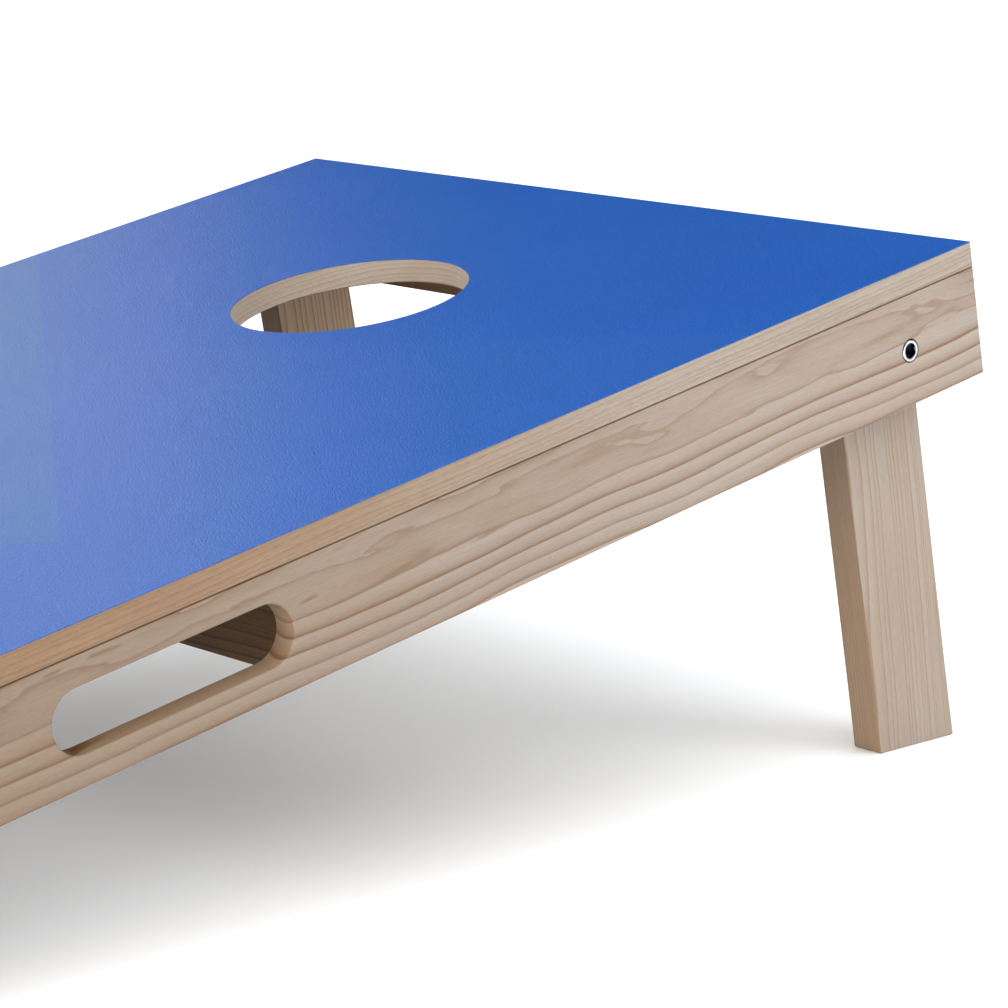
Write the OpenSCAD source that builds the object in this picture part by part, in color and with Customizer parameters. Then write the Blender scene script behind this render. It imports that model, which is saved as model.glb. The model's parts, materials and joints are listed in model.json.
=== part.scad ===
// Cornhole board on two folding legs, standing ready for play.
// +X is the right-hand side seen from the low front end, +Y is the high rear end, +Z is up.
// The origin is on the ground, below the middle of the whole board.
// Every piece is drawn on the level board first: X across, Y from the front end to the rear
// end, Z up from the lower edge of the frame. Then slope_up() tilts it onto its legs.

/* [Board] */
// Width of the deck
board_w = 609.6; // [560:0.1:660]
// Length of the deck
board_l = 1219.2; // [1150:0.1:1300]
// Slope of the deck to the ground, in degrees
slope = 11; // [10:0.5:12]
// Thickness of the deck panel
deck_t = 15; // [15:0.5:19]
// Thickness of the printed film on the deck
film_t = 0.4; // [0.3:0.1:0.8]

/* [Bag hole] */
// Diameter of the hole
hole_d = 148; // [140:1:156]
// Distance from the rear edge to the middle of the hole
hole_back = 226; // [210:1:240]

/* [Frame] */
// Thickness of the rails and braces
rail_t = 15; // [14:0.5:18]
// Height of the rails and braces
rail_h = 66; // [64:1:80]
// Space between the board's middle and each brace
brace_gap = 83.6; // [80:0.1:120]
// Length of a front corner block's sides
corner_block = 18; // [16:1:20]

/* [Hand slots] */
// Length of each hand slot
slot_l = 150; // [120:1:155]
// Height of each hand slot
slot_h = 34; // [28:1:36]
// Distance of the hand slots' middle behind the board's middle
slot_shift = 3.6; // [0:0.1:5]
// Width of the softened rim of each hand slot
slot_rim = 1.2; // [0.6:0.1:2]

/* [Legs] */
// Width of each leg
leg_w = 65; // [56:0.5:65]
// Thickness of each leg
leg_t = 21.5; // [16:0.1:23]
// Gap between a side rail and its leg
leg_inset = 15; // [12:0.5:18]
// Distance from the rear edge to the pivot
pivot_back = 61.1; // [60:0.1:70]
// Height of the pivot above the frame's lower edge
pivot_h = 32.5; // [32.2:0.1:33.5]
// Length of each pivot block
pivot_block_l = 92; // [80:1:110]
// Height of each leg stop
stop_h = 30; // [20:1:32]
// Width of each leg stop
stop_w = 26; // [22:1:40]

/* [Pivot hardware] */
// Diameter of the pivot stud
stud_d = 7.8; // [7:0.1:7.8]
// Outer diameter of the insert nut's flat ring
insert_d = 12.8; // [12:0.1:13]
// Outer diameter of the insert nut's wood thread
insert_thread_d = 14.3; // [13.6:0.1:14.6]
// Size of the insert nut's hexagon socket across its flats
hex_af = 8; // [8:0.1:9]
// Depth of the insert nut's hexagon socket
hex_depth = 6; // [4:0.5:7]
// Diameter of the clamp knob
knob_d = 40; // [32:1:44]
// Number of lobes on the clamp knob
knob_lobes = 5; // [4:1:7]

/* [Hidden] */
$fn = 64;

RIGHT = 1;
LEFT = -1;

// Clearances: fixed pieces in their seats, turning pieces on the stud, and faces that slide.
seat_gap = 0.02;
turn_gap = 0.07;
face_gap = 0.1;

half_w = board_w / 2;
inner_w = board_w - 2 * rail_t;
deck_top = rail_h + deck_t;
mid_l = board_l / 2;
pivot_y = board_l - pivot_back;

// Across the right-hand pivot, from the rail inwards
rail_face_x = half_w - rail_t;
leg_outer_x = rail_face_x - leg_inset;
leg_inner_x = leg_outer_x - leg_t;
friction_washer_t = 0.9;
friction_washer_d = 24;
block_face_x = leg_outer_x + friction_washer_t + face_gap;
knob_washer_t = 1.6;
knob_washer_d = 16;
knob_washer_x = leg_inner_x - face_gap;
knob_face_x = knob_washer_x - knob_washer_t;
bush_d = 12;

// Clamp knob
knob_boss_d = 18;
knob_boss_h = 7;
knob_grip_h = 13;
lobe_d = 13;
stud_tip_gap = 0.5;
stud_end_x = half_w - hex_depth - stud_tip_gap;
stud_start_x = knob_face_x - knob_boss_h - knob_grip_h + 6;
stud_chamfer = 1;

// Insert nut
insert_thread_pitch = 2.5;
insert_thread_h = 1.3;
insert_lead = 1.5;

// Countersunk wood screws
screw_d = 4;
screw_head_d = 8;
screw_head_h = 2.4;
screw_tip = 5;
cross_l = 4.4;
cross_w = 0.9;
cross_depth = 1.8;
deck_screw_l = 40;
block_screw_l = 25;

// Dowels between the crosspieces and the side rails
dowel_d = 6;
dowel_l = 30;
dowel_in_rail = 10;
dowel_heights = [rail_h * 0.27, rail_h * 0.73];

// Where things stand along the board
rear_rail_y = board_l - rail_t;
rear_brace_y = mid_l + brace_gap;
front_brace_y = mid_l - brace_gap - rail_t;
crosspieces_y = [0, front_brace_y, rear_brace_y, rear_rail_y];
hole_y = board_l - hole_back;
slot_y = mid_l + slot_shift;
slot_z = rail_h / 2 - 0.1;
stop_t = pivot_back - leg_w / 2 - rail_t - face_gap;
stop_z = 6;
block_margin = 3;

// The rear corners of the leg feet reach furthest back, and the deck's front edge furthest out
foot_reach = (board_l - pivot_back + leg_w / 2) / cos(slope);
front_reach = (deck_top + film_t) * sin(slope);
middle_y = (foot_reach - front_reach) / 2;

// Screw places on the level board: rows above the side rails, pairs above the crosspieces
side_screw_first = 130;
side_screw_step = 200;
side_screws = [for (side = [RIGHT, LEFT], end = [-1, 1], k = [0:2])
    [side * (half_w - rail_t / 2), mid_l + end * (side_screw_first + k * side_screw_step)]];
cross_screws = [for (side = [RIGHT, LEFT], y = crosspieces_y)
    [side * board_w / 4, y + rail_t / 2]];
deck_screw_places = concat(side_screws, cross_screws);

// Screw places on the pivot blocks, as distances from the pivot and heights
block_screw_back = 36;
block_screw_side = 11;
stop_screw_side = 8.5;

// Tilts the level board onto its legs and centres it on the origin.
module slope_up() {
    translate([0, -middle_y, 0]) rotate([slope, 0, 0]) children();
}

// Puts a right-hand piece on its own side of the board.
module on_side(side) {
    if (side == RIGHT) children();
    else mirror([1, 0, 0]) children();
}

// A bar along +X from x, centred on the pivot.
module pivot_bar(x, length, d) {
    translate([x, pivot_y, pivot_h]) rotate([0, 90, 0]) cylinder(h = length, d = d);
}

// A washer or tube along +X, centred on the pivot.
module pivot_tube(x, length, outer_d, bore_d) {
    difference() {
        pivot_bar(x, length, outer_d);
        pivot_bar(x - 1, length + 2, bore_d);
    }
}

// One countersunk wood screw, pointing down, its head flush with Z = 0.
module wood_screw(length) {
    difference() {
        union() {
            translate([0, 0, -screw_head_h])
                cylinder(h = screw_head_h, d1 = screw_d, d2 = screw_head_d);
            translate([0, 0, screw_tip - length])
                cylinder(h = length - screw_tip - screw_head_h, d = screw_d);
            translate([0, 0, -length]) cylinder(h = screw_tip, d1 = 0.6, d2 = screw_d);
        }
        for (turn = [0, 90]) rotate([0, 0, turn])
            translate([-cross_l / 2, -cross_w / 2, -cross_depth])
                cube([cross_l, cross_w, cross_depth + 1]);
    }
}

// The seat that a wood screw cuts for itself.
module screw_seat(length) {
    cylinder(h = 1, d = screw_head_d + 2 * seat_gap);
    translate([0, 0, -screw_head_h])
        cylinder(h = screw_head_h, d1 = screw_d + 2 * seat_gap, d2 = screw_head_d + 2 * seat_gap);
    translate([0, 0, -length - seat_gap]) cylinder(h = length, d = screw_d + 2 * seat_gap);
}

module at_deck_screws() {
    for (place = deck_screw_places)
        translate([place[0], place[1], deck_top]) children();
}

// Four screws hold each pivot block, two each leg stop and two each corner block.
module at_block_screws() {
    for (back = [-1, 1], up = [-1, 1])
        translate([block_face_x, pivot_y + back * block_screw_back, pivot_h + up * block_screw_side * 1.6])
            rotate([0, -90, 0]) children();
    for (up = [-1, 1])
        translate([block_face_x - stop_w / 2, rear_rail_y - stop_t, stop_z + stop_h / 2 + up * stop_screw_side])
            rotate([90, 0, 0]) children();
    for (up = [-1, 1])
        translate([rail_face_x - corner_block, rail_t + corner_block / 2.6, rail_h / 2 + up * block_screw_side])
            rotate([0, -90, 0]) children();
}

// The dowels of one end of every crosspiece.
module at_dowels() {
    for (y = crosspieces_y, z = dowel_heights)
        translate([rail_face_x + dowel_in_rail - dowel_l, y + rail_t / 2, z])
            rotate([0, 90, 0]) children();
}

module deck_screw_seats() {
    at_deck_screws() screw_seat(deck_screw_l);
}

module block_screw_seats() {
    at_block_screws() screw_seat(block_screw_l);
}

module dowel_seats() {
    at_dowels() translate([0, 0, -seat_gap])
        cylinder(h = dowel_l + 2 * seat_gap, d = dowel_d + 2 * seat_gap);
}

// A round-ended bar through the side rail: the hand slot, grown by extra on every side.
module slot_bar(x, length, extra) {
    for (end = [-1, 1])
        translate([x, slot_y + end * (slot_l - slot_h) / 2, slot_z])
            rotate([0, 90, 0]) cylinder(h = length, d = slot_h + 2 * extra);
    translate([x, slot_y - (slot_l - slot_h) / 2, slot_z - slot_h / 2 - extra])
        cube([length, slot_l - slot_h, slot_h + 2 * extra]);
}

// The cutter for the hand slot's softened outer rim, a flare that runs on past the rail.
module slot_flare() {
    reach = slot_rim + 1;
    low = slot_h / 2;
    high = low + reach;
    for (end = [-1, 1])
        translate([half_w - slot_rim, slot_y + end * (slot_l - slot_h) / 2, slot_z])
            rotate([0, 90, 0]) cylinder(h = reach, r1 = low, r2 = high);
    translate([half_w - slot_rim, slot_y + (slot_l - slot_h) / 2, slot_z]) rotate([90, 0, 0])
        linear_extrude(height = slot_l - slot_h)
            polygon([[0, -low], [reach, -high], [reach, high], [0, low]]);
}

// A board across the frame between the side rails, with its ends drilled for dowels.
module crosspiece(y) {
    difference() {
        translate([-inner_w / 2, y, 0]) cube([inner_w, rail_t, rail_h]);
        dowel_seats();
        mirror([1, 0, 0]) dowel_seats();
        deck_screw_seats();
        block_screw_seats();
        mirror([1, 0, 0]) block_screw_seats();
    }
}

module side_rail() {
    difference() {
        translate([rail_face_x, 0, 0]) cube([rail_t, board_l, rail_h]);
        slot_bar(rail_face_x - 1, rail_t + 2, 0);
        slot_flare();
        pivot_bar(rail_face_x - 1, rail_t + 2, insert_thread_d + 2 * seat_gap);
        dowel_seats();
        deck_screw_seats();
        block_screw_seats();
    }
}

module pivot_block() {
    difference() {
        translate([block_face_x, rear_rail_y - pivot_block_l, block_margin])
            cube([rail_face_x - block_face_x, pivot_block_l, rail_h - 2 * block_margin]);
        pivot_bar(block_face_x - 1, leg_inset + 2, stud_d + 4 * turn_gap);
        block_screw_seats();
    }
}

module leg_stop() {
    difference() {
        translate([block_face_x - stop_w, rear_rail_y - stop_t, stop_z])
            cube([stop_w, stop_t, stop_h]);
        block_screw_seats();
    }
}

module corner_block_shape() {
    difference() {
        translate([0, 0, block_margin]) linear_extrude(height = rail_h - 2 * block_margin)
            polygon([[rail_face_x, rail_t], [rail_face_x, rail_t + corner_block],
                [rail_face_x - corner_block / 3, rail_t + corner_block],
                [rail_face_x - corner_block, rail_t + corner_block * 0.75],
                [rail_face_x - corner_block, rail_t]]);
        block_screw_seats();
    }
}

// Height on the level board of the ground below a place along it.
function ground(y) = -y * tan(slope);

module leg() {
    rear_y = pivot_y + leg_w / 2;
    front_y = pivot_y - leg_w / 2;
    difference() {
        translate([leg_inner_x, 0, 0]) rotate([90, 0, 90]) linear_extrude(height = leg_t) {
            polygon([[front_y, pivot_h], [front_y, ground(front_y)],
                [rear_y, ground(rear_y)], [rear_y, pivot_h]]);
            translate([pivot_y, pivot_h]) circle(d = leg_w, $fn = 96);
        }
        pivot_bar(leg_inner_x - 1, leg_t + 2, bush_d + 2 * seat_gap);
    }
}

module insert_nut() {
    rings = floor((rail_t - insert_lead) / insert_thread_pitch);
    difference() {
        union() {
            pivot_bar(rail_face_x, rail_t, insert_d);
            for (k = [0:rings - 1])
                pivot_bar(half_w - insert_lead - insert_thread_h - k * insert_thread_pitch,
                    insert_thread_h, insert_thread_d);
        }
        translate([half_w - hex_depth, pivot_y, pivot_h]) rotate([0, 90, 0])
            cylinder(h = hex_depth + 1, d = hex_af / cos(30), $fn = 6);
        pivot_bar(rail_face_x - 1, rail_t, stud_d + turn_gap);
    }
}

module pivot_stud() {
    pivot_bar(stud_start_x, stud_end_x - stud_start_x - stud_chamfer, stud_d);
    translate([stud_end_x - stud_chamfer, pivot_y, pivot_h]) rotate([0, 90, 0])
        cylinder(h = stud_chamfer, d1 = stud_d, d2 = stud_d - 2 * stud_chamfer);
}

// The star knob, with its boss against the washer and its grip inwards.
module clamp_knob() {
    difference() {
        translate([knob_face_x, pivot_y, pivot_h]) rotate([0, -90, 0]) {
            cylinder(h = knob_boss_h, d = knob_boss_d);
            translate([0, 0, knob_boss_h]) linear_extrude(height = knob_grip_h) {
                circle(d = knob_d - lobe_d);
                for (k = [0:knob_lobes - 1]) rotate(k * 360 / knob_lobes)
                    translate([(knob_d - lobe_d) / 2, 0]) circle(d = lobe_d);
            }
        }
        pivot_bar(stud_start_x - seat_gap, 40, stud_d + 2 * seat_gap);
    }
}

module playing_surface() {
    color("royalblue") slope_up() difference() {
        translate([-half_w, 0, deck_top]) cube([board_w, board_l, film_t]);
        translate([0, hole_y, deck_top - 1]) cylinder(h = film_t + 2, d = hole_d, $fn = 128);
    }
}

module deck_panel() {
    color("burlywood") slope_up() difference() {
        translate([-half_w, 0, rail_h]) cube([board_w, board_l, deck_t]);
        translate([0, hole_y, rail_h - 1]) cylinder(h = deck_t + 2, d = hole_d, $fn = 128);
        deck_screw_seats();
    }
}

module right_side_rail() {
    color("wheat") slope_up() on_side(RIGHT) side_rail();
}

module left_side_rail() {
    color("wheat") slope_up() on_side(LEFT) side_rail();
}

module rear_end_rail() {
    color("wheat") slope_up() crosspiece(rear_rail_y);
}

module front_end_rail() {
    color("wheat") slope_up() crosspiece(0);
}

module rear_cross_brace() {
    color("wheat") slope_up() crosspiece(rear_brace_y);
}

module front_cross_brace() {
    color("wheat") slope_up() crosspiece(front_brace_y);
}

module right_pivot_block() {
    color("tan") slope_up() on_side(RIGHT) pivot_block();
}

module left_pivot_block() {
    color("tan") slope_up() on_side(LEFT) pivot_block();
}

module right_leg_stop() {
    color("tan") slope_up() on_side(RIGHT) leg_stop();
}

module left_leg_stop() {
    color("tan") slope_up() on_side(LEFT) leg_stop();
}

module right_corner_block() {
    color("tan") slope_up() on_side(RIGHT) corner_block_shape();
}

module left_corner_block() {
    color("tan") slope_up() on_side(LEFT) corner_block_shape();
}

module right_leg() {
    color("burlywood") slope_up() on_side(RIGHT) leg();
}

module left_leg() {
    color("burlywood") slope_up() on_side(LEFT) leg();
}

module right_leg_bush() {
    color("ivory") slope_up() on_side(RIGHT)
        pivot_tube(leg_inner_x, leg_t, bush_d, stud_d + 2 * turn_gap);
}

module left_leg_bush() {
    color("ivory") slope_up() on_side(LEFT)
        pivot_tube(leg_inner_x, leg_t, bush_d, stud_d + 2 * turn_gap);
}

module right_insert_nut() {
    color("silver") slope_up() on_side(RIGHT) insert_nut();
}

module left_insert_nut() {
    color("silver") slope_up() on_side(LEFT) insert_nut();
}

module right_friction_washer() {
    color("ivory") slope_up() on_side(RIGHT)
        pivot_tube(leg_outer_x + face_gap, friction_washer_t, friction_washer_d, stud_d + 4 * turn_gap);
}

module left_friction_washer() {
    color("ivory") slope_up() on_side(LEFT)
        pivot_tube(leg_outer_x + face_gap, friction_washer_t, friction_washer_d, stud_d + 4 * turn_gap);
}

module right_pivot_stud() {
    color("silver") slope_up() on_side(RIGHT) pivot_stud();
}

module left_pivot_stud() {
    color("silver") slope_up() on_side(LEFT) pivot_stud();
}

module right_knob_washer() {
    color("silver") slope_up() on_side(RIGHT)
        pivot_tube(knob_face_x, knob_washer_t, knob_washer_d, stud_d + 4 * turn_gap);
}

module left_knob_washer() {
    color("silver") slope_up() on_side(LEFT)
        pivot_tube(knob_face_x, knob_washer_t, knob_washer_d, stud_d + 4 * turn_gap);
}

module right_clamp_knob() {
    color("dimgray") slope_up() on_side(RIGHT) clamp_knob();
}

module left_clamp_knob() {
    color("dimgray") slope_up() on_side(LEFT) clamp_knob();
}

module rail_dowels() {
    color("peru") slope_up() for (side = [RIGHT, LEFT])
        on_side(side) at_dowels() cylinder(h = dowel_l, d = dowel_d);
}

module deck_screws() {
    color("silver") slope_up() at_deck_screws() wood_screw(deck_screw_l);
}

module block_screws() {
    color("silver") slope_up() for (side = [RIGHT, LEFT])
        on_side(side) at_block_screws() wood_screw(block_screw_l);
}

playing_surface();
deck_panel();
right_side_rail();
left_side_rail();
rear_end_rail();
front_end_rail();
rear_cross_brace();
front_cross_brace();
right_pivot_block();
left_pivot_block();
right_leg_stop();
left_leg_stop();
right_corner_block();
left_corner_block();
right_leg();
left_leg();
right_leg_bush();
left_leg_bush();
right_insert_nut();
left_insert_nut();
right_friction_washer();
left_friction_washer();
right_pivot_stud();
left_pivot_stud();
right_knob_washer();
left_knob_washer();
right_clamp_knob();
left_clamp_knob();
rail_dowels();
deck_screws();
block_screws();
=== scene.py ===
"""Looks for a cornhole board on two folding legs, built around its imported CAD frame.

Every new piece is drawn on the level board, in millimetres: x across, s from the front end to
the rear end, t up from the frame's lower edge. Level.world() then tilts it onto its legs, in
metres, in the frame that the CAD parts share. Wood is a solid pattern of growth rings in the
same level coordinates, so that it runs true round every edge and into every hole.
Lengths are in millimetres, apart from the studio's, which are in metres.
"""

from __future__ import annotations

import json
import logging
import math
import sys
from dataclasses import dataclass
from enum import Enum
from typing import Any

import bmesh
import bpy
import numpy as np
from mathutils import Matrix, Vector

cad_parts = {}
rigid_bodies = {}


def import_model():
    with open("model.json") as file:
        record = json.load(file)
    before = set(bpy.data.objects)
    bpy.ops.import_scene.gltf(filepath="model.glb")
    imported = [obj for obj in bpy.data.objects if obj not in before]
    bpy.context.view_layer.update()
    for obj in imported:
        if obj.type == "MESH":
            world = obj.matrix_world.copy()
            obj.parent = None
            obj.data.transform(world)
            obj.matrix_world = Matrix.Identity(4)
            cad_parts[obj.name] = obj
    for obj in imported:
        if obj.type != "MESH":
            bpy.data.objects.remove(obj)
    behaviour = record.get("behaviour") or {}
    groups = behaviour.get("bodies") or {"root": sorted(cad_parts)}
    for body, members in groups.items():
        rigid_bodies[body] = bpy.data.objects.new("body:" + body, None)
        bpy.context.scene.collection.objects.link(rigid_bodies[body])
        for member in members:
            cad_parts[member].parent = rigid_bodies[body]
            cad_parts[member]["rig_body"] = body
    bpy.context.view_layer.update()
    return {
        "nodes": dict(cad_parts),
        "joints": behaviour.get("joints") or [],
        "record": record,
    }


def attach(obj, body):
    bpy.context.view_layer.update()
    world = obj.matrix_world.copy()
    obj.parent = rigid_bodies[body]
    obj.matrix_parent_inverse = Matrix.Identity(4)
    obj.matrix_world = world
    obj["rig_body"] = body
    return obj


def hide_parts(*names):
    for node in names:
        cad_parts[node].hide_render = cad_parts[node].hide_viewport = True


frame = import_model()

MM = 0.001
LOG = logging.getLogger("cornhole_board")
Colour = tuple[float, float, float]
Wall = tuple[tuple[float, float], ...]
Place = tuple[float, float, float]


def srgb(red: int, green: int, blue: int) -> Colour:
    """Linear light of a display colour given in steps from 0 to 255."""
    channels = (c / 255 for c in (red, green, blue))
    return tuple(c / 12.92 if c <= 0.04045 else ((c + 0.055) / 1.055) ** 2.4 for c in channels)


def bag_hole() -> dict[str, Any]:
    """The record's mount for the bag hole's rim."""
    return next(m for m in frame["record"]["mounts"] if m["name"] == "bag_hole_rim")


class Side(Enum):
    """The two long sides of the board, with the sign of x on each."""

    RIGHT = 1
    LEFT = -1

    @property
    def word(self) -> str:
        """The side's name as the pieces and nodes spell it."""
        return self.name.lower()


class Plane(Enum):
    """How a board lies: the level axes of its length u, its height v and its thickness w."""

    SIDE = (1, 2, 0)
    END = (0, 2, 1)
    TOP = (0, 1, 2)


class Grain(Enum):
    """The way the wood grows: the level axes along the grain, then the two across it."""

    ALONG = (1, 0, 2)
    ACROSS = (0, 1, 2)
    UPRIGHT = (2, 0, 1)


class Rays(Enum):
    """What a lamp lights: everything, only glossy surfaces' shine, or all but that shine."""

    ALL = (True, True)
    SHINE = (False, True)
    MATTE = (True, False)


@dataclass(frozen=True)
class Level:
    """The level board: its slope, and where its front lower corner is once turned level.

    Attributes:
        slope: Tilt of the board to the ground, in radians.
        corner_s: Place of the front end along the turned board.
        corner_t: Height of the frame's lower edge above the turned origin.
    """

    slope: float
    corner_s: float = 0.0
    corner_t: float = 0.0

    @classmethod
    def measure(cls) -> Level:
        """Reads the slope from the bag hole's axis, and the corner from the right side rail."""
        axis = bag_hole()["axis"]
        turned = cls(math.atan2(-axis[1], axis[2]))
        low, _ = turned.box("right_side_rail")
        return cls(turned.slope, low[1], low[2])

    def level(self, points: np.ndarray) -> np.ndarray:
        """Turns points in metres back by the slope about X, then shifts them to the corner.

        Args:
            points: Places in the shared frame, with x, y, z in the last axis.

        Returns:
            The same places as x, s, t in millimetres.
        """
        x, y, z = np.moveaxis(np.asarray(points, float) / MM, -1, 0)
        cos, sin = math.cos(self.slope), math.sin(self.slope)
        return np.stack([x, y * cos + z * sin - self.corner_s, z * cos - y * sin - self.corner_t], -1)

    def world(self, points: np.ndarray) -> np.ndarray:
        """Shifts level points off the corner, then turns them up by the slope about X.

        Args:
            points: Places as x, s, t in millimetres, in the last axis.

        Returns:
            The same places in the shared frame, in metres.
        """
        x, s, t = np.moveaxis(np.asarray(points, float), -1, 0)
        s, t = s + self.corner_s, t + self.corner_t
        cos, sin = math.cos(self.slope), math.sin(self.slope)
        return np.stack([x, s * cos - t * sin, s * sin + t * cos], -1) * MM

    def box(self, node: str) -> tuple[list[float], list[float]]:
        """Lowest and highest level corner of a CAD node.

        Args:
            node: The CAD node's name.

        Returns:
            Two lists of x, s, t.
        """
        mesh = frame["nodes"][node].data
        places = np.empty(len(mesh.vertices) * 3, np.float32)
        mesh.vertices.foreach_get("co", places)
        points = self.level(places.reshape(-1, 3))
        return points.min(0).tolist(), points.max(0).tolist()

    def pivot(self) -> tuple[float, float]:
        """Place of the legs' pivots, as s and t, which is the same on both sides."""
        joint = next(j for j in frame["joints"] if j["name"] == "right_leg_fold")
        _, s, t = self.level(joint["pos_m"]).tolist()
        return s, t


@dataclass(frozen=True)
class Cloud:
    """Smooth noise around 0.5.

    Attributes:
        cell: Size of its cells along each of three axes.
        detail: How many finer layers are added.
        rough: How strong the finer layers are.
        twist: How far the noise is distorted by itself.
        shift: How many cells it is moved by, along each axis.
        band: Values from which the result is 0 and 1, with an S-curve between them.
    """

    cell: tuple[float, float, float]
    detail: float = 2.0
    rough: float = 0.5
    twist: float = 0.0
    shift: tuple[float, float, float] = (0.0, 0.0, 0.0)
    band: tuple[float, float] | None = None


class Signal:
    """A node socket that carries one number, with Python's operators on it."""

    def __init__(self, graph: Graph, socket: bpy.types.NodeSocket) -> None:
        """Keeps the socket and the graph that it belongs to."""
        self.graph = graph
        self.socket = socket

    def _math(self, operation: str, *values: Any, clamp: bool = False) -> Signal:
        """Adds one Math node that works on the given values in order."""
        settings = {"operation": operation, "use_clamp": clamp}
        return self.graph.node("ShaderNodeMath", settings, dict(enumerate(values)))

    def __add__(self, other: Any) -> Signal:
        """Sum."""
        return self._math("ADD", self, other)

    def __sub__(self, other: Any) -> Signal:
        """Difference."""
        return self._math("SUBTRACT", self, other)

    def __rsub__(self, other: Any) -> Signal:
        """Difference with the signal taken away."""
        return self._math("SUBTRACT", other, self)

    def __mul__(self, other: Any) -> Signal:
        """Product."""
        return self._math("MULTIPLY", self, other)

    def __truediv__(self, other: Any) -> Signal:
        """Quotient."""
        return self._math("DIVIDE", self, other)

    def __rtruediv__(self, other: Any) -> Signal:
        """Quotient with the signal below the line."""
        return self._math("DIVIDE", other, self)

    __radd__ = __add__
    __rmul__ = __mul__

    def size(self) -> Signal:
        """Value without its sign."""
        return self._math("ABSOLUTE", self)

    def root(self) -> Signal:
        """Square root."""
        return self._math("SQRT", self)

    def part(self) -> Signal:
        """Fractional part."""
        return self._math("FRACT", self)

    def whole(self) -> Signal:
        """Whole part."""
        return self._math("FLOOR", self)

    def clamp(self) -> Signal:
        """The value held between 0 and 1."""
        return self._math("MULTIPLY", self, 1.0, clamp=True)

    def step(self, start: float, stop: float) -> Signal:
        """Smooth step: 0 up to start, 1 from stop, and an S-curve between them."""
        settings = {"interpolation_type": "SMOOTHSTEP"}
        values = {"Value": self, "From Min": start, "From Max": stop, "To Min": 0.0, "To Max": 1.0}
        return self.graph.node("ShaderNodeMapRange", settings, values, "Result")


class Graph:
    """The node tree of one material or of the world."""

    def __init__(self, tree: bpy.types.NodeTree) -> None:
        """Empties the tree."""
        self.tree = tree
        tree.nodes.clear()

    def node(
        self,
        kind: str,
        settings: dict[str, Any] | None = None,
        values: dict[str | int, Any] | None = None,
        output: str | int = 0,
    ) -> Signal:
        """Adds a node, sets its settings, then fills or links its sockets.

        Args:
            kind: The node's type.
            settings: Its own properties; "stops" gives a ramp's places and colours.
            values: What each input socket holds, as a number, a tuple, or a Signal to link.
            output: The output socket that is wanted.

        Returns:
            That output as a Signal.
        """
        made = self.tree.nodes.new(kind)
        for name, setting in (settings or {}).items():
            if name == "stops":
                ramp = made.color_ramp.elements
                for stop, (place, colour) in zip(ramp, (setting[0], setting[-1])):
                    stop.position, stop.color = place, (*colour, 1.0)
                for place, colour in setting[1:-1]:
                    ramp.new(place).color = (*colour, 1.0)
            else:
                setattr(made, name, setting)
        for name, value in (values or {}).items():
            held = made.inputs[name]
            if isinstance(value, Signal):
                self.tree.links.new(value.socket, held)
            else:
                wide = held.type == "RGBA" and len(value) == 3
                held.default_value = (*value, 1.0) if wide else value
        return Signal(self, made.outputs[output] if made.outputs else made.inputs[0])

    def split(self, vector: Signal) -> tuple[Signal, Signal, Signal]:
        """The three numbers of a vector."""
        outputs = self.node("ShaderNodeSeparateXYZ", None, {0: vector}).socket.node.outputs
        return tuple(Signal(self, socket) for socket in outputs)

    def noise(self, cloud: Cloud, *place: Any) -> Signal:
        """Reads a cloud: each of the place's numbers is divided by the cell's, then shifted.

        Args:
            cloud: The noise.
            place: Three numbers or signals.

        Returns:
            The noise as a number, or its share of the cloud's band.
        """
        cells = [value / size for value, size in zip(place, cloud.cell)]
        cells = [cell + shift if shift else cell for cell, shift in zip(cells, cloud.shift)]
        values = {
            "Vector": self.node("ShaderNodeCombineXYZ", None, dict(enumerate(cells))),
            "Scale": 1.0,
            "Detail": cloud.detail,
            "Roughness": cloud.rough,
            "Distortion": cloud.twist,
        }
        read = self.node("ShaderNodeTexNoise", {"noise_dimensions": "3D"}, values)
        return read.step(*cloud.band) if cloud.band else read

    def mix(self, first: Any, second: Any, share: Any, mode: str = "MIX") -> Signal:
        """Mixes two colours: share 0 gives the first one, share 1 the second."""
        settings = {"data_type": "RGBA", "blend_type": mode, "clamp_factor": True}
        return self.node("ShaderNodeMix", settings, {0: share, 6: first, 7: second}, 2)

    def shade(self, colour: Signal, tone: Colour, share: Any) -> Signal:
        """A colour multiplied by a tone where the share is 1, and left alone where it is 0."""
        return self.mix(colour, tone, share, "MULTIPLY")

    def level_axes(self, level: Level) -> tuple[Signal, Signal, Signal]:
        """The level coordinates x, s and t of the shaded point, in millimetres."""
        values = {
            "Vector": self.node("ShaderNodeTexCoord", output="Object"),
            "Location": (0.0, -level.corner_s, -level.corner_t),
            "Rotation": (-level.slope, 0.0, 0.0),
            "Scale": (1 / MM, 1 / MM, 1 / MM),
        }
        return self.split(self.node("ShaderNodeMapping", {"vector_type": "POINT"}, values))

    def bump(self, height: Signal, depth: float, strength: float) -> Signal:
        """A bumped normal from a height of 0 to 1 that stands for a depth in millimetres."""
        values = {"Height": height, "Distance": depth * MM, "Strength": strength}
        return self.node("ShaderNodeBump", None, values)

    def surface(self, values: dict[str, Any]) -> None:
        """Ends the material in a Principled shader whose sockets hold the given values."""
        shader = self.node("ShaderNodeBsdfPrincipled", None, values)
        self.node("ShaderNodeOutputMaterial", None, {"Surface": shader})


def new_material(name: str) -> tuple[bpy.types.Material, Graph]:
    """An empty material and its node tree."""
    made = bpy.data.materials.new(name)
    made.use_nodes = True
    return made, Graph(made.node_tree)


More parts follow.
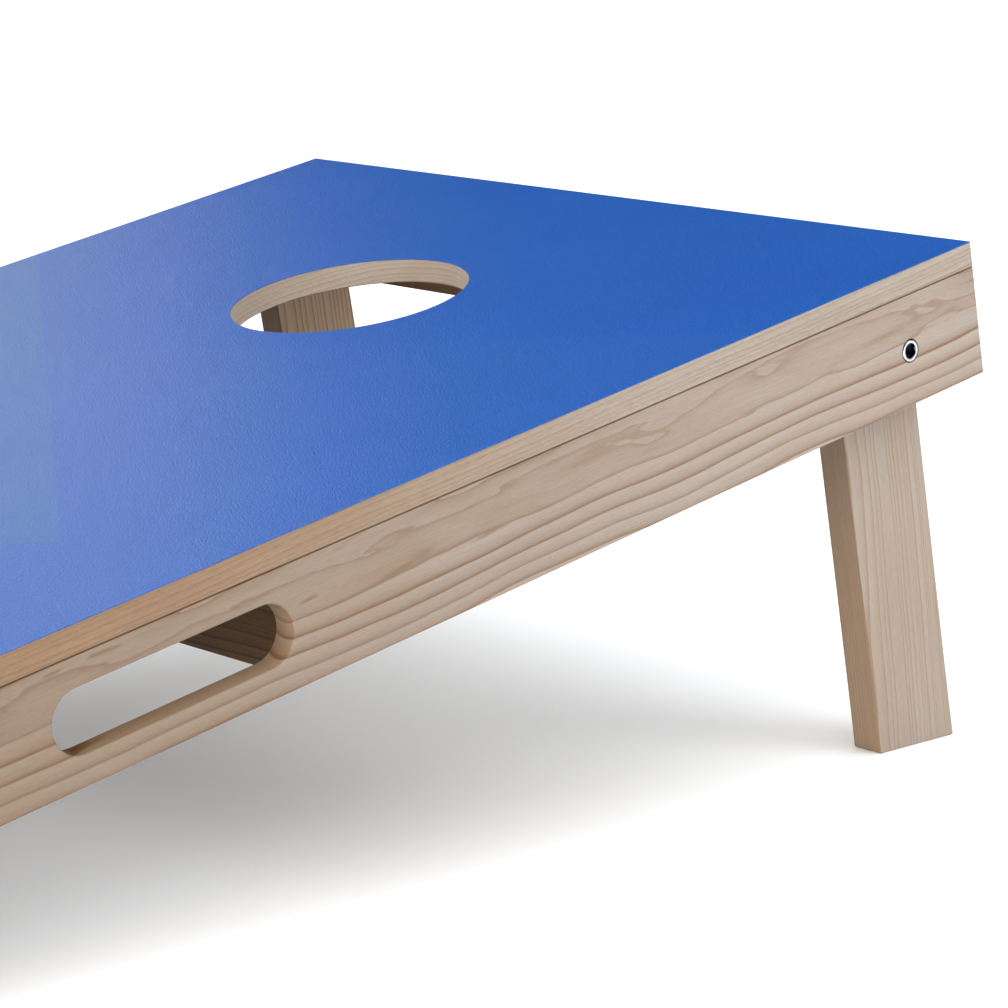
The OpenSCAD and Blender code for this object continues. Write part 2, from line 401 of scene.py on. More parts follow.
@dataclass(frozen=True)
class Wood:
    """A board's wood: growth rings round a pith that runs along the grain.

    Attributes:
        name: The material's name.
        pale: Colour of the early wood.
        dark: Colour of the late wood at the end of each year's ring.
        tint: Colour that broad patches lean to.
        grain: The way the wood grows.
        pith: Place of the pith on the two axes across the grain.
        lean: Drift of the pith over one millimetre along the grain, on the same two axes.
        ring: Width of one year's ring.
        contrast: Strength of the rings' colour.
        wander: How far the rings swing to and fro.
        calm: Band across the second axis in which the rings fade and swirl, as (start, full).
        bunch: How unevenly the rings are spaced, from 0 for all alike.
        sway: Length over which the rings swing once.
        fibre: Strength of the fine streaks.
        dashes: Strength of the short dark pores.
        patch: Strength of the broad patches.
        front_shade: Darker and warmer colour that the board is multiplied by towards its front, as painted
            shade where the light falls off.
        raw: Faces that get painted shade or painted light, as level axes with the
            places where that starts and is full.
        raw_tone: Colour that those faces are multiplied by; below 1 it paints shade,
            above 1 it paints light.
        rough: Roughness of the planed face.
    """

    name: str
    pale: Colour
    dark: Colour
    tint: Colour
    grain: Grain
    pith: tuple[float, float]
    lean: tuple[float, float] = (0.0, 0.0)
    ring: float = 8.0
    contrast: float = 1.0
    wander: float = 9.0
    calm: tuple[float, float] | None = None
    bunch: float = 0.0
    sway: float = 330.0
    fibre: float = 0.3
    dashes: float = 0.0
    patch: float = 0.5
    front_shade: Colour | None = None
    raw: tuple[tuple[int, float, float], ...] = ()
    raw_tone: Colour = (0.9, 0.77, 0.64)
    rough: float = 0.52

    # Clouds, with their cells' sizes on the first axis across, along, and the second across.
    RIPPLE = Cloud((12, 45, 12))
    SWIRL = Cloud((30, 75, 11), 2.5, 0.5, 0.4, shift=(0, 0, 4))
    FADE = Cloud((70, 260, 38), 1.0, shift=(0, 0, 3), band=(0.3, 0.68))
    PATCHES = Cloud((34, 170, 34), shift=(0, 5, 0), band=(0.36, 0.66))
    STREAKS = Cloud((0.7, 30, 0.7), 3.0, 0.62)
    HAIRS = Cloud((0.35, 6, 0.35), 2.0, 0.6)
    PORES = Cloud((0.55, 7.5, 0.55), 1.0, band=(0.33, 0.43))
    BUNCHES = Cloud((2.6, 1, 1), 0.0)
    # Darkness along a year's ring: a slow rise, a deep late line and a quick reset.
    YEAR = ((0.0, 0.04), (0.25, 0.14), (0.55, 0.3), (0.76, 0.52), (0.89, 0.98), (0.94, 0.92), (1.0, 0.04))
    # Darkness of the wood where no ring shows, and how far a swirl bends the rings.
    MEAN_YEAR = 0.42
    SWIRL_RINGS = 2.4
    STREAK_TONE = (0.66, 0.57, 0.49)
    PORE_TONE = (0.4, 0.31, 0.24)
    # The painted front shade runs out between these places, and the joint under the deck gets painted shade
    # in its groove.
    FRONT_RUN = (510.0, 1110.0)
    JOINT_T = 66.0
    JOINT_BAND = (0.2, 0.5)
    JOINT_TONE = (0.5, 0.42, 0.34)

    def material(self, level: Level) -> bpy.types.Material:
        """Builds the wood as a solid pattern.

        The distance to the pith, bent by slow noise, is counted in rings. Within a ring the
        colour deepens slowly and resets at once. Streaks, pores and patches lie on top. Painted
        shade darkens the board towards its front and along the joint between the rails and the
        deck, and chosen faces are multiplied by a tone of painted shade or painted light.

        Args:
            level: The level board, whose axes the grain follows.

        Returns:
            The material.
        """
        made, graph = new_material(self.name)
        axes = graph.level_axes(level)
        along, first, second = (axes[k] for k in self.grain.value)
        place = (first, along, second)
        years = self.years(graph, along, first, second)
        strength = graph.noise(self.FADE, *place) * 0.25 + 0.75
        if self.calm:
            calm = second.step(*self.calm)
            years = years + (graph.noise(self.SWIRL, *place) - 0.5) * calm * self.SWIRL_RINGS
            strength = strength * (1 - calm * 0.5)
        year = self.shade_of_year(graph, years)
        bands = ((year * strength + (1 - strength) * self.MEAN_YEAR) * self.contrast).clamp()
        grain = graph.noise(self.STREAKS, *place) * 0.45 + graph.noise(self.HAIRS, *place) * 0.55
        grain = grain.step(0.36, 0.66)
        colour = graph.mix(self.pale, self.tint, graph.noise(self.PATCHES, *place) * self.patch)
        colour = graph.mix(colour, self.dark, bands)
        colour = graph.shade(colour, self.STREAK_TONE, (1 - grain) * self.fibre)
        height = grain * 0.7 - bands * 0.5
        if self.dashes:
            pores = (1 - graph.noise(self.PORES, *place)) * self.dashes
            colour = graph.shade(colour, self.PORE_TONE, pores)
            height = height - pores
        # Painted shade: the board is darkened and warmed towards its front.
        if self.front_shade:
            colour = graph.shade(colour, self.front_shade, 1 - axes[1].step(*self.FRONT_RUN))
            # Painted shade along the joint between the rails and the deck, for the shadow in its groove.
            above = axes[2] - self.JOINT_T
            colour = graph.shade(colour, self.JOINT_TONE, 1 - (above * above).step(*self.JOINT_BAND))
        # Chosen faces are multiplied by a tone, as painted shade, or as painted light where it is above 1.
        for axis, start, full in self.raw:
            colour = graph.shade(colour, self.raw_tone, axes[axis].size().step(start, full))
        graph.surface(
            {
                "Base Color": colour,
                "Roughness": (1 - grain) * 0.16 + bands * -0.05 + self.rough,
                "IOR": 1.46,
                "Specular IOR Level": 0.35,
                "Normal": graph.bump(height, 0.06, 0.55),
            }
        )
        return made

    def years(self, graph: Graph, along: Signal, first: Signal, second: Signal) -> Signal:
        """Distance from the pith in rings: the root of both squares, bent by slow noise.

        Args:
            graph: The material's node tree.
            along: Place along the grain.
            first: Place on the first axis across it.
            second: Place on the second axis across it.

        Returns:
            The number of rings from the pith.
        """
        place = (first, along, second)
        broad = graph.noise(Cloud((75, self.sway, 75), 1.5), *place) - 0.5
        swing = graph.noise(Cloud((80, 0.6 * self.sway, 80), 1.0, shift=(7, 0, 0)), *place) - 0.5
        ripple = graph.noise(self.RIPPLE, *place) - 0.5
        across = first - self.pith[0] - along * self.lean[0] + broad * (1.5 * self.wander)
        up = second - self.pith[1] - along * self.lean[1] + swing * self.wander
        years = ((across * across + up * up).root() + ripple * (0.09 * self.wander)) / self.ring
        if self.bunch:
            years = years + (graph.noise(self.BUNCHES, years, 0.0, 0.0) - 0.5) * self.bunch
        return years

    def shade_of_year(self, graph: Graph, years: Signal) -> Signal:
        """Darkness within a year's ring, weaker in some years than in others.

        Args:
            graph: The material's node tree.
            years: Distance from the pith, in rings.

        Returns:
            The darkness.
        """
        stops = [(place, (darkness,) * 3) for place, darkness in self.YEAR]
        shade = graph.node("ShaderNodeValToRGB", {"stops": stops}, {"Fac": years.part()})
        luck = graph.node("ShaderNodeTexWhiteNoise", {"noise_dimensions": "1D"}, {"W": years.whole()})
        return shade * (luck * 0.3 + 0.7)


@dataclass(frozen=True)
class Film:
    """The printed film on the deck: three large flat fields of blue under a pebbled skin.

    Attributes:
        name: The material's name.
        rear: Blue of the field round the rear end.
        front: Blue of the field in front of it.
        corner: Blue of the field at the left-hand side.
        front_line: Rear edge of the front field, as s at x = 0 and the rise of s over x.
        corner_lines: Rear and front edges of the corner field, in the same way.
        pebble: Width of one pebble.
        depth: Height of the pebbles.
        rough: Roughness of the skin.
    """

    name: str = "pebbled_blue_film"
    rear: Colour = srgb(30, 84, 161)
    front: Colour = srgb(35, 86, 161)
    corner: Colour = srgb(41, 92, 156)
    front_line: tuple[float, float] = (883.2, 0.498)
    corner_lines: tuple[tuple[float, float], ...] = ((765.3, -0.68), (510.5, 0.59))
    pebble: float = 1.25
    depth: float = 0.34
    rough: float = 0.33

    MOTTLE = Cloud((90, 90, 1), 3.0, band=(0.35, 0.7))
    MOTTLE_TONE = (0.86, 0.9, 0.95)
    # Painted shade in the pebbles' hollows.
    PIT_TONE = (0.5, 0.6, 0.75)

    def material(self, level: Level) -> bpy.types.Material:
        """Builds the film.

        A field lies on one side of a straight line on the deck, s = offset + slope x, and its
        edge is one millimetre soft. The pebbles are noise of one cell to a pebble.

        Args:
            level: The level board, on which the fields are laid out.

        Returns:
            The material.
        """
        made, graph = new_material(self.name)
        x, s, _ = graph.level_axes(level)
        lines = (self.front_line, *self.corner_lines)
        ahead, below, above = ((x * rise + start - s).step(-0.5, 0.5) for start, rise in lines)
        pebbles = graph.noise(Cloud((self.pebble, self.pebble, 1), 2.5, 0.55, 0.6), x, s, 0.0)
        colour = graph.mix(self.rear, self.front, ahead)
        colour = graph.mix(colour, self.corner, below * (1 - above))
        colour = graph.shade(colour, self.MOTTLE_TONE, graph.noise(self.MOTTLE, x, s, 0.0) * 0.4)
        # The pebbles' hollows are darkened, as painted shade.
        colour = graph.shade(colour, self.PIT_TONE, (1 - pebbles).step(0.46, 0.6) * 0.8)
        graph.surface(
            {
                "Base Color": colour,
                "Roughness": pebbles * 0.14 + (self.rough - 0.07),
                "IOR": 1.45,
                "Specular IOR Level": 0.35,
                "Normal": graph.bump(pebbles, self.depth, 1.0),
            }
        )
        return made


@dataclass(frozen=True)
class Metal:
    """A plated or turned steel.

    Attributes:
        name: The material's name.
        bright: Colour of the clean plate.
        dull: Colour of its worn patches.
        rough: Roughness of the clean plate.
        tool: Distance between the tool's marks round the pivot.
        across: True where the marks show as rings on a turned face.
        socket: Radius within which painted shade darkens the steel below the rail's face.
    """

    name: str
    bright: Colour
    dull: Colour
    rough: float = 0.25
    tool: float = 0.3
    across: bool = True
    socket: float = 0.0

    PATCHES = Cloud((6, 6, 6), 3.0, 0.6)
    SPECKS = Cloud((0.5, 0.5, 0.5), 1.0, band=(0.7, 0.78))
    # The painted shade in the socket starts and is full at these distances from the board's middle line.
    BLACK_RUN = (304.72**2, 304.5**2)
    BLACK_TONE = (0.16, 0.16, 0.18)

    def material(self, level: Level) -> bpy.types.Material:
        """Builds the steel: fine tool marks, patchy plate, a few dark specks and painted shade in a socket.

        Args:
            level: The level board.

        Returns:
            The material.
        """
        made, graph = new_material(self.name)
        x, s, t = graph.level_axes(level)
        s0, t0 = level.pivot()
        radius = ((s - s0) * (s - s0) + (t - t0) * (t - t0)).root()
        marks = graph.noise(Cloud((self.tool, self.tool, 1)), radius, x, 0.0)
        patches = graph.noise(self.PATCHES, x, s, t)
        worn = (patches.step(0.42, 0.7) * 0.6 + graph.noise(self.SPECKS, x, s, t) * 0.6).clamp()
        colour = graph.mix(self.bright, self.dull, worn)
        # Painted shade inside the insert nut's socket, below the rail's face.
        if self.socket:
            deep = (x * x).step(*self.BLACK_RUN) * radius.step(self.socket, self.socket - 0.3)
            colour = graph.shade(colour, self.BLACK_TONE, deep)
        graph.surface(
            {
                "Base Color": colour,
                "Metallic": 1.0,
                "Roughness": marks * 0.16 + worn * 0.2 + (self.rough - 0.08),
                "Normal": graph.bump(marks if self.across else patches, 0.02, 0.4),
            }
        )
        return made


@dataclass(frozen=True)
class Plastic:
    """A moulded plastic.

    Attributes:
        name: The material's name.
        body: Its colour.
        bloom: The paler colour of its handled patches.
        rough: Roughness of the skin.
        spark: Width of the spark texture's cells.
        depth: Depth of the spark texture.
    """

    name: str
    body: Colour
    bloom: Colour
    rough: float = 0.45
    spark: float = 0.5
    depth: float = 0.04

    HANDLED = Cloud((12, 12, 12), 3.0, band=(0.4, 0.7))

    def material(self, level: Level) -> bpy.types.Material:
        """Builds the plastic: a fine spark texture under broad handled patches.

        Args:
            level: The level board.

        Returns:
            The material.
        """
        made, graph = new_material(self.name)
        axes = graph.level_axes(level)
        grit = graph.noise(Cloud((self.spark,) * 3), *axes)
        patches = graph.noise(self.HANDLED, *axes)
        graph.surface(
            {
                "Base Color": graph.mix(self.body, self.bloom, patches * 0.6 + grit * 0.2),
                "Roughness": grit * 0.12 - patches * 0.08 + self.rough,
                "IOR": 1.5,
                "Normal": graph.bump(grit, self.depth, 0.6),
            }
        )
        return made


def grid_quads(rows: int, columns: int, start: int = 0) -> np.ndarray:
    """Corner numbers of the quads of a grid of points that are numbered from start."""
    index = np.arange(rows * columns).reshape(rows, columns) + start
    return np.stack([index[:-1, :-1], index[:-1, 1:], index[1:, 1:], index[1:, :-1]], -1).reshape(-1, 4)


class Skin:
    """A closed surface put together from grids of points, in level millimetres."""

    def __init__(self) -> None:
        """Starts with no grid."""
        self.grids: list[np.ndarray] = []

    def add(self, points: np.ndarray, around: bool = False) -> None:
        """Adds a grid of rows by columns by x, s, t; around joins its last column to the first."""
        self.grids.append(np.concatenate([points, points[:, :1]], 1) if around else points)

    def piece(self, name: str, level: Level, side: Side = Side.RIGHT) -> bpy.types.Object:
        """Joins the grids into one mesh whose faces point outwards.

        Points that meet are merged, which also closes poles and seams, and only then are the
        faces turned outwards.

        Args:
            name: The piece's name.
            level: The level board.
            side: The side it is for; the left-hand one is the mirror of the right-hand one.

        Returns:
            The piece, at the origin, in metres.
        """
        quads, start = [], 0
        for grid in self.grids:
            quads.append(grid_quads(*grid.shape[:2], start))
            start += grid.shape[0] * grid.shape[1]
        points = np.concatenate([grid.reshape(-1, 3) for grid in self.grids])
        points = points * np.array([side.value, 1.0, 1.0])
        mesh = bpy.data.meshes.new(name)
        mesh.from_pydata(level.world(points), [], np.concatenate(quads).tolist())
        work = bmesh.new()
        work.from_mesh(mesh)
        bmesh.ops.remove_doubles(work, verts=work.verts, dist=0.002 * MM)
        bmesh.ops.recalc_face_normals(work, faces=work.faces)
        gaps = sum(not edge.is_manifold for edge in work.edges)
        if gaps:
            LOG.warning("%s has %d open edges", name, gaps)
        work.to_mesh(mesh)
        work.free()
        mesh.polygons.foreach_set("use_smooth", np.ones(len(mesh.polygons), bool))
        made = bpy.data.objects.new(name, mesh)
        bpy.context.scene.collection.objects.link(made)
        return made


@dataclass(frozen=True)
class Bore:
    """A hole through a board: round, or with two round ends along u.

    Attributes:
        u: Place of its middle along the board.
        v: Place of its middle up the board.
        radius: Radius of its round ends.
        wall: Growth of the radius and depth below the high face, from face to face.
        straight: Half the distance between the centres of its two round ends.
    """

    u: float
    v: float
    radius: float
    wall: Wall
    straight: float = 0.0

    def turns(self, corners: np.ndarray) -> np.ndarray:
        """Angle and end of the hole that face each of a cell's corners.

        A round hole faces a corner along the line from its middle. A long hole keeps its
        straight parts to the cell's long sides and its round ends to the short ones.

        Args:
            corners: The cell's corners, counter-clockwise from the lowest, first one repeated.

        Returns:
            Rows of angle in radians and end from -1 to 1, one for each corner.
        """
        if self.straight:
            quarter = math.pi / 2
            return np.array([(-quarter, -1), (-quarter, 1), (quarter, 1), (quarter, -1), (3 * quarter, -1)])
        angles = np.unwrap(np.arctan2(corners[:, 1] - self.v, corners[:, 0] - self.u))
        return np.stack([angles, np.zeros(5)], -1)

    def loop(self, turns: np.ndarray, growth: float) -> np.ndarray:
        """Points of the hole's outline: its end's centre plus its radius at the angle.

        Args:
            turns: Rows of angle and end.
            growth: How much the radius grows.

        Returns:
            Rows of u and v.
        """
        radius = self.radius + growth
        u = self.u + self.straight * turns[:, 1] + radius * np.cos(turns[:, 0])
        return np.stack([u, self.v + radius * np.sin(turns[:, 0])], -1)


def straight_wall(depth: float, ease: float) -> Wall:
    """Wall of a plain hole, with both rims eased at 45 degrees."""
    return ((ease, 0.0), (0.0, ease), (0.0, depth - ease), (ease, depth))


@dataclass(frozen=True)
class ScrewSeat:
    """A screw's seat: a hole for its shank that ends in a cone for its head in the low face.

    Attributes:
        shank: Radius of the hole.
        head: Growth of that radius at the cone's rim.
        head_depth: Depth of the cone.
    """

    shank: float = 2.02
    head: float = 2.0
    head_depth: float = 2.4

    def bore(self, u: float, v: float, depth: float) -> Bore:
        """The seat at a place on a board of the given thickness."""
        wall = ((0.0, 0.0), (0.0, depth - self.head_depth), (self.head, depth))
        return Bore(u, v, self.shank, wall)


@dataclass(frozen=True)
class Board:
    """A sawn board with holes, whose faces are grids of cells with at most one hole each.

    Attributes:
        plane: How it lies.
        low: Its lowest level corner.
        high: Its highest level corner.
        bores: Its holes.
        u_cuts: Lines between cells along u.
        v_cuts: Lines between cells along v.
        steps: Quads on a cell's sides along u and v.
        slope_from: Where the low face starts to slope along u, and its rise at the end.
    """

    plane: Plane
    low: list[float]
    high: list[float]
    bores: tuple[Bore, ...] = ()
    u_cuts: tuple[float, ...] = ()
    v_cuts: tuple[float, ...] = ()
    steps: tuple[int, int] = (6, 6)
    slope_from: tuple[float, float] | None = None

    def high_face(self, uv: np.ndarray) -> np.ndarray:
        """Height of the high face at places on it, which is flat."""
        return np.full(uv.shape[:-1], self.high[self.plane.value[2]])

    def low_face(self, uv: np.ndarray) -> np.ndarray:
        """Height of the low face: flat, then straight up to the rise at the end of u."""
        u_axis, _, w_axis = self.plane.value
        flat = np.full(uv.shape[:-1], self.low[w_axis])
        if not self.slope_from:
            return flat
        start, rise = self.slope_from
        return flat + rise * np.clip((uv[..., 0] - start) / (self.high[u_axis] - start), 0, 1)

    def place(self, uv: np.ndarray, w: np.ndarray | float) -> np.ndarray:
        """Level points from places on the face and heights above the level axes' origin.

        Args:
            uv: Places on the face, with u and v in the last axis.
            w: Height along the thickness.

        Returns:
            Points as x, s, t.
        """
        points = np.empty((*uv.shape[:-1], 3))
        for axis, values in zip(self.plane.value, (uv[..., 0], uv[..., 1], w)):
            points[..., axis] = values
        return points

    def cell(self, skin: Skin, u: tuple[float, float], v: tuple[float, float]) -> None:
        """Adds both faces of one cell, and the wall of its hole if it has one.

        A plain cell is a grid. A drilled one is a fan of quads from the hole's outline to the
        cell's, and its wall is the outline carried along the wall's growths and depths.

        Args:
            skin: The surface to add to.
            u: The cell's first and last u.
            v: The cell's first and last v.
        """
        faces = (self.high_face, self.low_face)
        bore = next((b for b in self.bores if u[0] < b.u < u[1] and v[0] < b.v < v[1]), None)
        if not bore:
            sides = (np.linspace(*ends, count + 1) for ends, count in zip((u, v), self.steps))
            uv = np.stack(np.meshgrid(*sides), -1)
            for face in faces:
                skin.add(self.place(uv, face(uv)))
            return
        corners = np.array([(u[0], v[0]), (u[1], v[0]), (u[1], v[1]), (u[0], v[1]), (u[0], v[0])])
        outer, turns = self.walk(corners), self.walk(bore.turns(corners))
        for face, (growth, _) in zip(faces, (bore.wall[0], bore.wall[-1])):
            inner = bore.loop(turns, growth)
            fan = inner + np.linspace(0, 1, 4)[:, None, None] * (outer - inner)
            skin.add(self.place(fan, face(fan)), around=True)
        top = self.high[self.plane.value[2]]
        wall = [self.place(bore.loop(turns, growth), top - depth) for growth, depth in bore.wall]
        skin.add(np.stack(wall), around=True)

    def walk(self, corners: np.ndarray) -> np.ndarray:
        """Rows from corner to corner in equal steps, as many as each side of a cell has quads."""
        counts = self.steps * 2
        sides = [np.linspace(corners[k], corners[k + 1], counts[k], endpoint=False) for k in range(4)]
        return np.concatenate(sides)

    def skin(self) -> Skin:
        """Puts the cells and the four edges together into a closed surface."""
        made = Skin()
        u_axis, v_axis, _ = self.plane.value
        u = (self.low[u_axis], *self.u_cuts, self.high[u_axis])
        v = (self.low[v_axis], *self.v_cuts, self.high[v_axis])
        for column in zip(u[:-1], u[1:]):
            for row in zip(v[:-1], v[1:]):
                self.cell(made, column, row)
        for lines, count, across, turn in ((u, self.steps[0], v, 1), (v, self.steps[1], u, -1)):
            runs = [np.linspace(a, b, count + 1) for a, b in zip(lines[:-1], lines[1:])]
            run = np.unique(np.concatenate(runs).round(9))
            for end in (across[0], across[-1]):
                uv = np.stack([run, np.full_like(run, end)][::turn], -1)
                sides = [self.place(uv, face(uv)) for face in (self.high_face, self.low_face)]
                made.add(np.stack(sides))
        return made


def ease_edges(piece: bpy.types.Object, width: float, angle: float = 60.0) -> None:
    """Rounds a piece's sharp edges, and keeps its flat faces flat to the light.

    Args:
        piece: The piece.
        width: Width of the rounding.
        angle: Edges sharper than this are rounded, in degrees.
    """
    bevel = piece.modifiers.new("eased_edges", "BEVEL")
    bevel.width, bevel.segments = width * MM, 2
    bevel.limit_method, bevel.angle_limit = "ANGLE", math.radians(angle)
    bevel.use_clamp_overlap = False
    flat = piece.modifiers.new("flat_faces", "WEIGHTED_NORMAL")
    flat.mode, flat.weight, flat.keep_sharp = "FACE_AREA", 50, False


def thread(
    start: float, stop: float, root: float, crest: float, pitch: float, count: int
) -> list[tuple[float, np.ndarray]]:
    """A screw thread: the radius is a blunt wave of the place along the axis less the turn.

    Args:
        start: x at which it starts.
        stop: x at which it ends.
        root: Radius at the thread's root.
        crest: Radius at its crest.
        pitch: Length of one turn.
        count: Points round the axis.

    Returns:
        Rows of x and the radius at each angle; the ends run out to the root.
    """
    rows = np.linspace(start, stop, max(2, round(abs(stop - start) / pitch * 8)) + 1)
    turn = np.arange(count) / count
    wave = np.abs(((rows[:, None] / pitch - turn) % 1) * 2 - 1)
    height = np.clip(wave * 1.9 - 0.45, 0, 1)
    fade = np.clip(np.minimum(abs(rows - start), abs(stop - rows)) / (0.5 * pitch), 0, 1)
    return list(zip(rows, root + (crest - root) * height * fade[:, None]))


def dress(piece: bpy.types.Object, material: bpy.types.Material) -> None:
    """Gives a piece or a CAD node its finish."""
    if not piece.data.materials:
        piece.data.materials.append(material)
    for slot in piece.material_slots:
        slot.material = material


RAIL = {"pale": srgb(157, 150, 143), "dark": srgb(118, 92, 70), "tint": srgb(156, 143, 130)}
# Pine darkened as painted shade, for the braces and blocks that sit under the deck.
INNER_PAINTED_SHADE = {"pale": srgb(98, 71, 39), "dark": srgb(50, 29, 10), "tint": srgb(86, 60, 28)}
# Painted shade for the end rails' faces inside the frame, where the deck keeps the light off.
PAINTED_INSIDE_SHADE = (0.5, 0.31, 0.16)
RECIPES = (
    Film(),
    Wood("deck_board", srgb(155, 148, 139), srgb(122, 99, 78), srgb(145, 132, 117), Grain.ALONG,
         (0.0, -700.0), (0.01, 0.006), ring=3.1, contrast=0.6, wander=7, bunch=2.0, fibre=0.4,
         dashes=0.15, front_shade=(0.77, 0.56, 0.39)),
    # The right rail is lightened and warmed everywhere but its outer face, which shows in the slot's walls,
    # as painted light.
    Wood("right_rail_pine", **RAIL, grain=Grain.ALONG, pith=(291.8, 48.6), ring=8.4, wander=15,
         contrast=1.15, calm=(32, 44), sway=260.0, front_shade=(0.74, 0.66, 0.57),
         raw=((0, 304.2, 303.4),), raw_tone=(1.12, 1.0, 0.84)),
    Wood("left_rail_pine", **RAIL, grain=Grain.ALONG, pith=(-289.0, 22.0), lean=(0.004, 0.006)),
    Wood("end_rail_pine", **RAIL, grain=Grain.ACROSS, pith=(1190.0, 14.0), lean=(0.01, 0.012),
         ring=7.5, raw=((1, 1204.6, 1204.3),), raw_tone=PAINTED_INSIDE_SHADE),
    Wood("front_rail_pine", **RAIL, grain=Grain.ACROSS, pith=(20.0, 50.0), lean=(0.0, 0.02),
         ring=7.0, raw=((1, 14.6, 14.9),), raw_tone=PAINTED_INSIDE_SHADE),
    Wood("brace_pine", **INNER_PAINTED_SHADE, grain=Grain.ACROSS, pith=(680.0, 20.0), lean=(0.02, 0.02),
         ring=6.0, fibre=0.45, dashes=0.2),
    # The right leg's front and inner faces are darkened as painted shade, and the left leg's front face much
    # more, for the deck's shadow.
    Wood("right_leg_pine", srgb(154, 144, 133), srgb(120, 92, 68), srgb(150, 133, 118),
         Grain.UPRIGHT, (345.0, 1118.0), (0.0, 0.03), ring=2.2, contrast=0.7, wander=6,
         bunch=6.0, sway=230.0, raw=((1, 1126.2, 1125.9), (0, 253.8, 253.5))),
    Wood("left_leg_pine", srgb(166, 143, 118), srgb(110, 78, 50), srgb(158, 132, 106),
         Grain.UPRIGHT, (-345.0, 1105.0), (0.0, 0.02), ring=2.3, contrast=0.9, wander=5,
         bunch=2.0, sway=230.0, raw=((1, 1126.2, 1125.9),), raw_tone=(0.3, 0.19, 0.09)),
    Wood("block_wood", **INNER_PAINTED_SHADE, grain=Grain.ALONG, pith=(250.0, 10.0), lean=(0.0, 0.05),
         ring=4.5, wander=4, fibre=0.5, dashes=0.3, rough=0.62),
    Wood("beech", srgb(205, 170, 132), srgb(170, 126, 86), srgb(190, 150, 110), Grain.ACROSS,
         (600.0, 30.0), ring=3.0, contrast=0.3, dashes=0.8),
    Plastic("nylon", srgb(226, 224, 214), srgb(208, 202, 188), rough=0.42),
    Plastic("black_plastic", srgb(24, 24, 26), srgb(40, 40, 43), rough=0.5),
    Metal("bright_steel", (0.66, 0.68, 0.72), (0.42, 0.43, 0.46), rough=0.26, socket=5.2),
    Metal("steel", (0.6, 0.61, 0.63), (0.36, 0.36, 0.38), rough=0.32),
    Metal("screw_steel", (0.66, 0.58, 0.36), (0.4, 0.34, 0.22), rough=0.34, across=False),
)


@dataclass(frozen=True)
class Assembly:
    """What every sub-assembly is built with.

    Attributes:
        level: The level board.
        finishes: The materials by their names.
    """

    level: Level
    finishes: dict[str, bpy.types.Material]

    def finish(
        self, skin: Skin, name: str, node: str, ease: float, finish: str, slot: str = "",
        side: Side = Side.RIGHT, angle: float = 60.0,
    ) -> None:
        """Turns a surface into the dressed piece that stands for a CAD node and rides its body.

        Args:
            skin: The surface.
            name: The piece's name.
            node: The CAD node it stands for.
            ease: Rounding of its edges.
            finish: The name of its material.
            slot: The record's material slot, where that isn't the finish's own name; not used.
            side: The side of the board that it is for.
            angle: Edges sharper than this are rounded, in degrees.
        """
        piece = skin.piece(name, self.level, side)
        ease_edges(piece, ease, angle)
        dress(piece, self.finishes[finish])
        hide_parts(node)
        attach(piece, frame["nodes"][node]["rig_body"])
        LOG.info("%s stands for %s: %d faces in %s", name, node, len(piece.data.polygons), finish)

    def keep(self, node: str, finish: str) -> None:
        """Dresses a CAD node that stays as it is."""
        dress(frame["nodes"][node], self.finishes[finish])
        LOG.info("%s stays, in %s", node, finish)


@dataclass(frozen=True)
class Deck(Assembly):
    """The deck panel and the film on it, with the bag hole through both.

    Attributes:
        ease: Rounding of the panel's edges.
        film_ease: Rounding of the film's cut edges.
        steps: Quads on each side of a cell; the hole has four times as many corners.
    """

    ease: float = 0.45
    film_ease: float = 0.1
    steps: int = 36

    def sheet(self, name: str, node: str, ease: float, finish: str, slot: str) -> None:
        """Builds a sheet of the deck's size with the bag hole, whose rims are eased.

        Args:
            name: The piece's name.
            node: The CAD node whose size and place it takes.
            ease: Rounding of its edges.
            finish: The name of its material.
            slot: The record's material slot; not used.
        """
        mount = bag_hole()
        hole_s = float(self.level.level(mount["pos_m"])[1])
        low, high = self.level.box(node)
        hole = Bore(0.0, hole_s, mount["dims"]["r_mm"], straight_wall(high[2] - low[2], ease))
        cut = 2 * hole_s - high[1]
        board = Board(Plane.TOP, low, high, (hole,), v_cuts=(cut,), steps=(self.steps,) * 2)
        self.finish(board.skin(), name, node, ease, finish, slot)

    def build(self) -> None:
        """Builds and dresses the panel and the film."""
        self.sheet("deck_board_panel", "deck_panel", self.ease, "deck_board", "deck_board")
        self.sheet("deck_film", "playing_surface", self.film_ease, "pebbled_blue_film", "blue_film")


